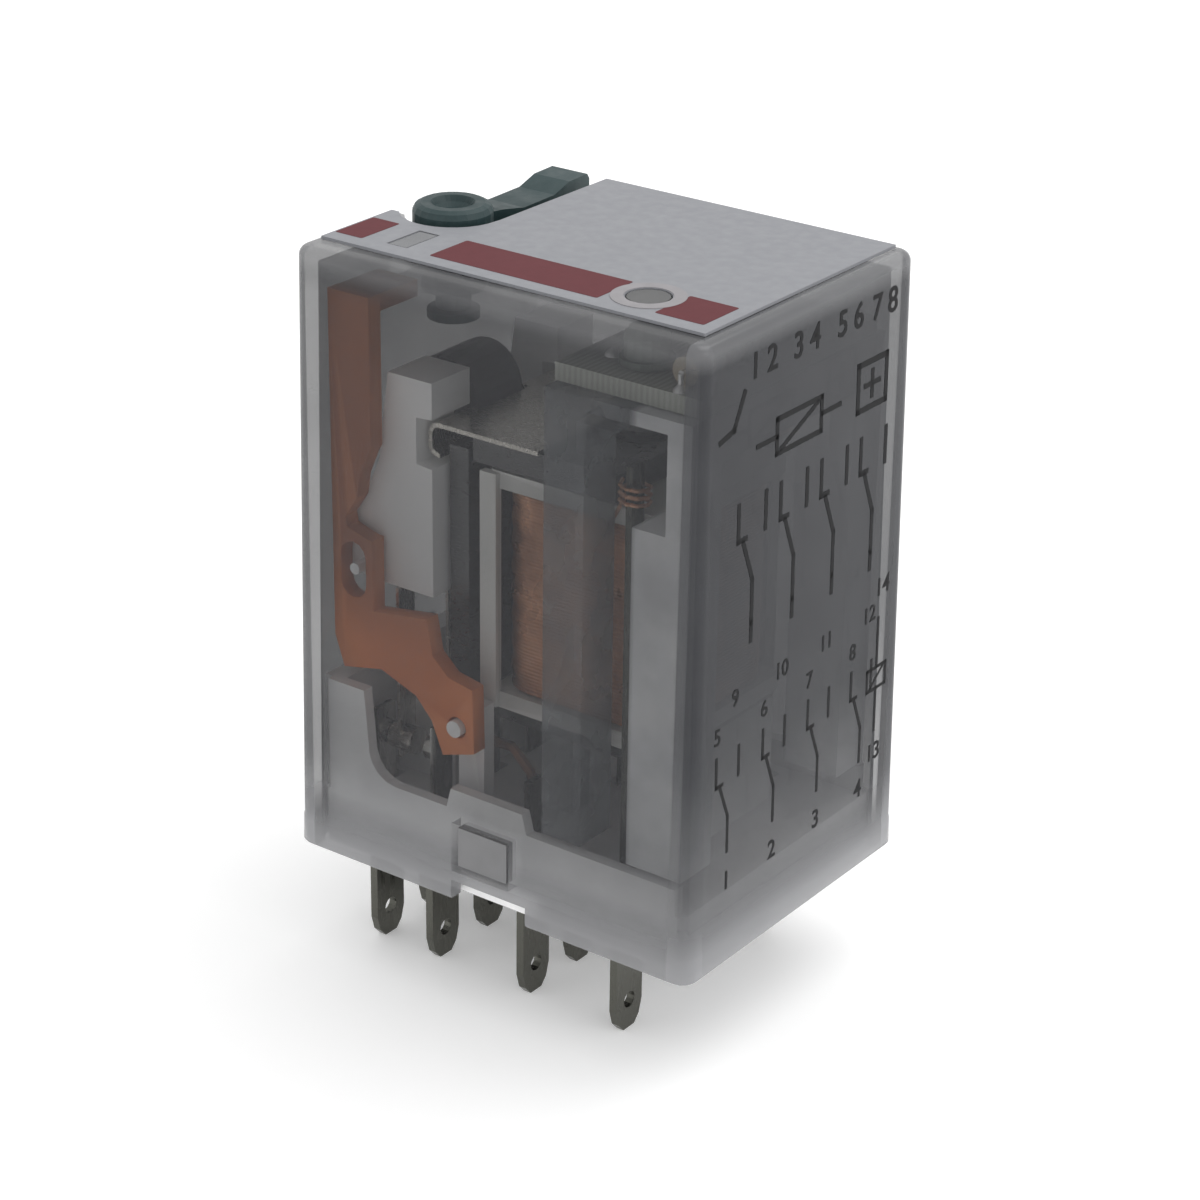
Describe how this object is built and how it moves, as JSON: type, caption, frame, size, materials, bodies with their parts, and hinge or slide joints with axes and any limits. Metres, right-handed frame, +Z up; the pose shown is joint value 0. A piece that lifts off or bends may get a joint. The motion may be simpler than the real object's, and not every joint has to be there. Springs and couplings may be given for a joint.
{
  "type": "plug-in relay",
  "caption": "Clear-covered plug-in power relay with blades below, a rotary test lever, a printed top plate, a flag indicator and a light.",
  "frame": {"origin": "centre of the base underside, the face that rests on the socket", "axes": "+Z up through the printed top, +X along the long side towards the coil blades and the light, +Y along the short side, away from the side with the indicator"},
  "size_m": [0.0276, 0.0212, 0.0434],
  "materials": {
    "clear_plastic": "clear, slightly smoky polycarbonate",
    "base_plastic": "grey translucent moulding",
    "frosted_plastic": "frosted clear moulding",
    "pale_plastic": "pale grey moulding",
    "white_plastic": "off-white moulding",
    "dark_plastic": "dark brown moulding",
    "orange_plastic": "orange moulding",
    "teal_plastic": "dark teal moulding",
    "label": "printed white plate with a red stripe",
    "lens": "clear grey lens",
    "board": "pale green laminate",
    "resistor_body": "beige lacquer",
    "steel": "nickel-plated soft iron",
    "spring_bronze": "spring bronze",
    "tinned_brass": "nickel-plated brass",
    "copper": "enamelled copper"
  },
  "bodies": {
    "housing": {"cover": "clear_plastic", "base": "base_plastic", "board_bracket": "frosted_plastic", "bobbin": "white_plastic", "diode": "dark_plastic", "label_plate": "label", "led_window": "lens", "indicator_window": "lens", "led": "lens", "light_board": "board", "resistor": "resistor_body", "yoke": "steel", "core": "steel", "pole_shoe": "steel", "return_spring": "spring_bronze", "nc_terminal_1": "tinned_brass", "nc_terminal_2": "tinned_brass", "nc_terminal_3": "tinned_brass", "nc_terminal_4": "tinned_brass", "no_terminal_1": "tinned_brass", "no_terminal_2": "tinned_brass", "no_terminal_3": "tinned_brass", "no_terminal_4": "tinned_brass", "com_terminal_1": "tinned_brass", "com_terminal_2": "tinned_brass", "com_terminal_3": "tinned_brass", "com_terminal_4": "tinned_brass", "coil_terminal_1": "tinned_brass", "coil_terminal_2": "tinned_brass", "winding": "copper", "coil_lead_1": "copper", "coil_lead_2": "copper", "braid_1": "copper", "braid_2": "copper", "braid_3": "copper", "braid_4": "copper"},
    "stem": {"test_stem": "teal_plastic"},
    "lever": {"test_lever": "teal_plastic"},
    "armature_unit": {"armature": "steel", "spring_block": "pale_plastic", "push_pad": "dark_plastic", "moving_spring_1": "spring_bronze", "moving_spring_2": "spring_bronze", "moving_spring_3": "spring_bronze", "moving_spring_4": "spring_bronze"},
    "indicator": {"indicator_rocker": "orange_plastic"}
  },
  "joints": [
    {"name": "test_press", "type": "slide", "parent": "housing", "child": "stem", "axis": [0, 0, -1], "range_m": [0, 0.001], "stiffness_N_per_m": 400, "springref_m": -0.0005},
    {"name": "test_turn", "type": "hinge", "parent": "stem", "child": "lever", "pos_m": [-0.00985, -0.0007, 0.035], "axis": [0, 0, 1], "range_deg": [0, 90]},
    {"name": "armature_swing", "type": "hinge", "parent": "housing", "child": "armature_unit", "pos_m": [-0.0051, 0, 0.0255], "axis": [0, -1, 0], "range_deg": [0, 2.5], "stiffness_Nm_per_rad": 0.05, "springref_deg": -0.57},
    {"name": "indicator_swing", "type": "hinge", "parent": "housing", "child": "indicator", "pos_m": [-0.00345, -0.0081, 0.0096], "axis": [0, 1, 0], "range_deg": [0, 3]}
  ],
  "couplings": [
    {"joint": "indicator_swing", "follows": "armature_swing", "ratio": 1.2}
  ]
}
